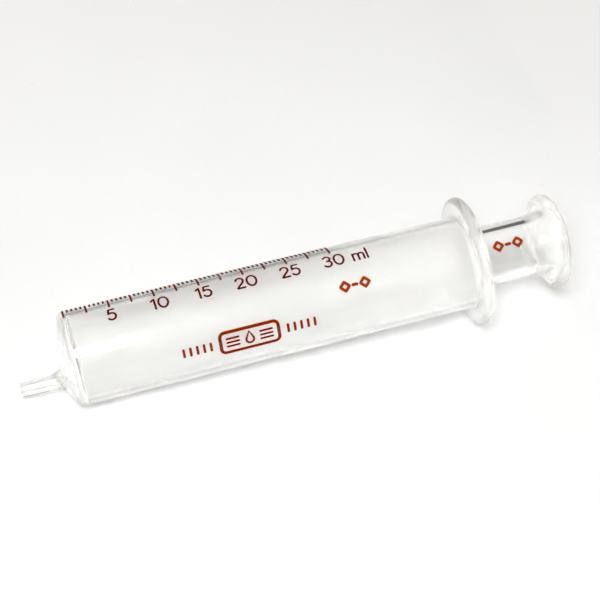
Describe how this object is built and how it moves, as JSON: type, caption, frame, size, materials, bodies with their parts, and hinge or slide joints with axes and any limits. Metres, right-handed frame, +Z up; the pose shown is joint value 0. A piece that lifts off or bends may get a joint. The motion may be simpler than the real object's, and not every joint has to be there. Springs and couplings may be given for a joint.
{
  "type": "glass oral syringe",
  "caption": "All-glass graduated syringe: clear barrel with finger flange and off-centre slip nozzle, and a ground hollow plunger that slides in it.",
  "frame": {"origin": "under the middle of the syringe's length, level with the lowest point of the finger flange", "axes": "+X along the barrel's axis towards the thumb rest, +Z up through the printed scale, nozzle offset towards -Z"},
  "size_m": [0.1538, 0.0362, 0.0363],
  "materials": {
    "clear_glass": "clear fire-polished borosilicate glass, ground (frosted) inside the bore",
    "ground_glass": "ground (frosted) piston, clear polished neck and thumb rest"
  },
  "bodies": {
    "barrel": {"barrel": "clear_glass"},
    "plunger": {"plunger": "ground_glass"}
  },
  "joints": [
    {"name": "plunger_slide", "type": "slide", "parent": "barrel", "child": "plunger", "axis": [1, 0, 0], "range_m": [0, 0.085]}
  ]
}
